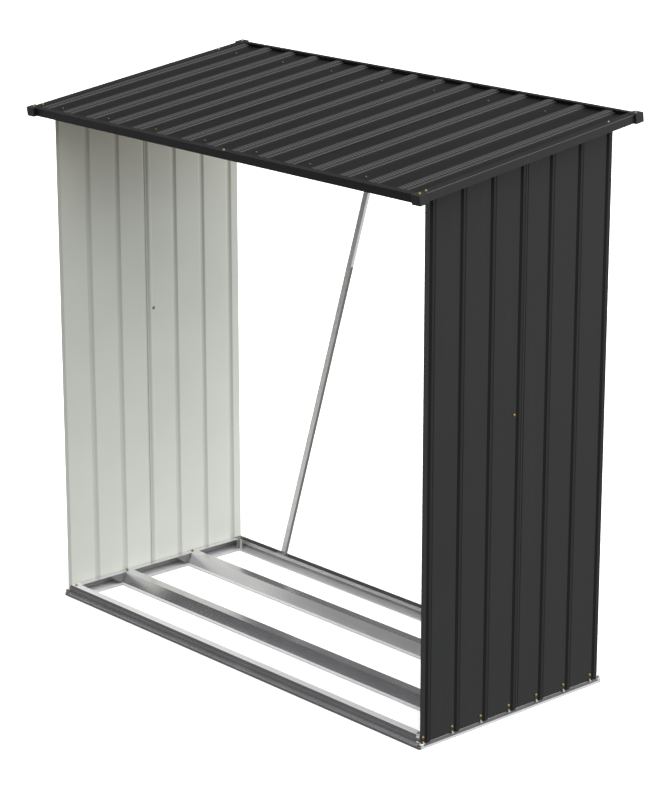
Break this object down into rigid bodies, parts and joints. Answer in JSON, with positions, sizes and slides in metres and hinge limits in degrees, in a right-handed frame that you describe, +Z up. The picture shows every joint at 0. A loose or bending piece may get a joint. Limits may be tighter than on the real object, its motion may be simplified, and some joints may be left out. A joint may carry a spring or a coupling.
{
  "type": "log store",
  "caption": "Open-fronted metal log store: ribbed side walls on a folded galvanised base frame with floor bars, diagonal rear braces and a sloping ribbed roof with channel trims",
  "frame": {"origin": "centre of the footprint's bounding box, on the ground", "axes": "+Z up; the open front, which is the low side of the roof, faces -Y; +X is to the right seen from the front"},
  "size_m": [1.827, 0.9149, 1.8004],
  "materials": {
    "wall_sheet": "satin anthracite coating outside, pale grey coating inside",
    "roof_sheet": "satin anthracite coating",
    "trim": "satin anthracite coating",
    "base_steel": "galvanised, fine spangle",
    "frame_steel": "galvanised, fine spangle",
    "brace_steel": "galvanised, fine spangle",
    "corner_plastic": "fine-textured black moulding"
  },
  "bodies": {
    "root": {"front_base_rail": "base_steel", "rear_base_rail": "base_steel", "left_base_rail": "base_steel", "right_base_rail": "base_steel", "front_floor_bar": "base_steel", "rear_floor_bar": "base_steel", "front_left_corner_bracket": "base_steel", "front_right_corner_bracket": "base_steel", "rear_left_corner_bracket": "base_steel", "rear_right_corner_bracket": "base_steel", "left_wall_front_sheet": "wall_sheet", "left_wall_rear_sheet": "wall_sheet", "right_wall_front_sheet": "wall_sheet", "right_wall_rear_sheet": "wall_sheet", "left_top_rail": "frame_steel", "right_top_rail": "frame_steel", "front_header": "frame_steel", "rear_header": "frame_steel", "left_rear_brace": "brace_steel", "right_rear_brace": "brace_steel", "roof_sheet_left": "roof_sheet", "roof_sheet_middle": "roof_sheet", "roof_sheet_right": "roof_sheet", "front_trim_left": "trim", "front_trim_right": "trim", "rear_trim_left": "trim", "rear_trim_right": "trim", "left_side_trim": "trim", "right_side_trim": "trim", "front_left_cap": "corner_plastic", "front_right_cap": "corner_plastic", "rear_left_cap": "corner_plastic", "rear_right_cap": "corner_plastic"}
  },
  "joints": []
}
